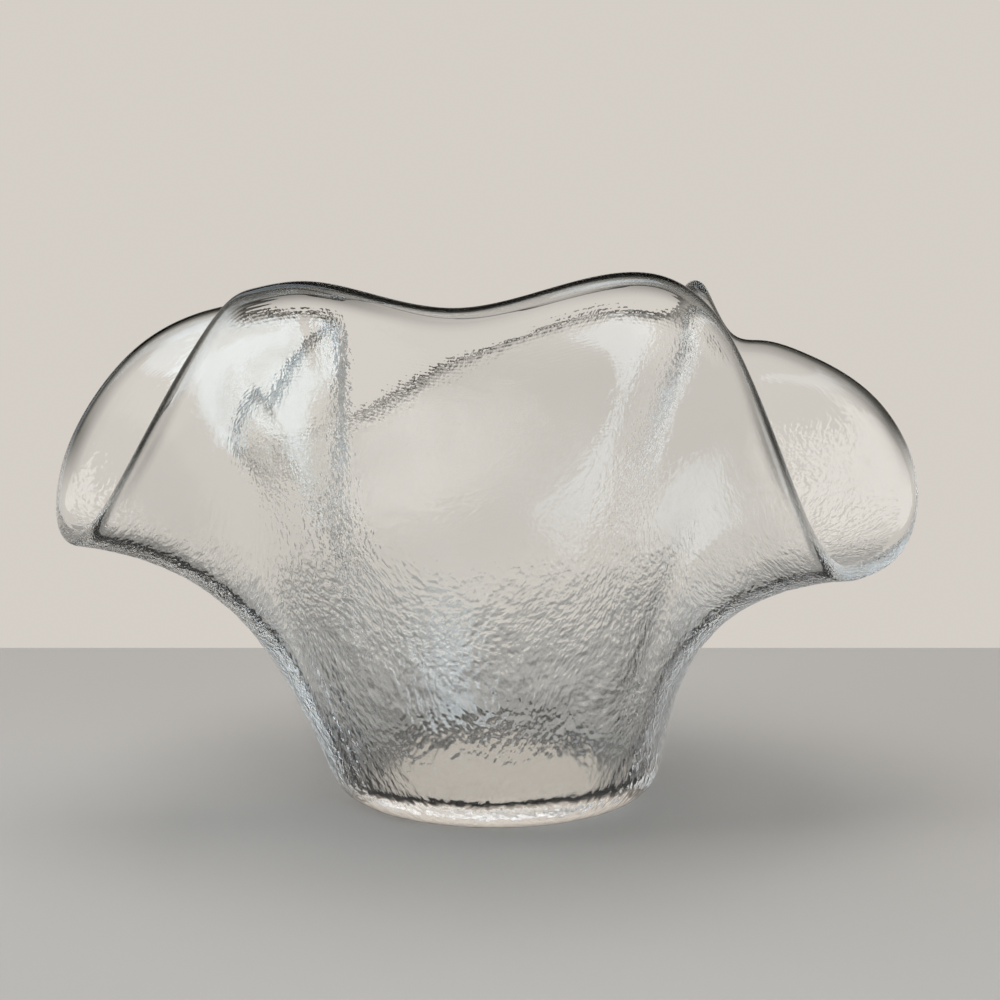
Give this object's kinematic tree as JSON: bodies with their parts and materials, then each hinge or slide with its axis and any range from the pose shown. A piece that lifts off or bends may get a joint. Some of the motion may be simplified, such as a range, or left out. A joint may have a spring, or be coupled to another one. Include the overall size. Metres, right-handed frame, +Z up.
{
  "type": "handkerchief bowl",
  "caption": "Clear glass bowl with a flat round foot and a thin wall folded into draped waves and low spouts, open at the top, for display or to hold fruit or flowers.",
  "frame": {"origin": "centre of the foot's flat underside, on the surface that the bowl stands on", "axes": "+Z up out of the bowl's mouth, -Y towards the side with the long shallow wave, +X towards the lower and wider of the two side spouts"},
  "size_m": [0.2134, 0.1771, 0.1338],
  "materials": {
    "clear_glass": "clear and colourless, smooth inside and along the round lip, finely rippled outside"
  },
  "bodies": {
    "root": {"glass_bowl": "clear_glass"}
  },
  "joints": []
}
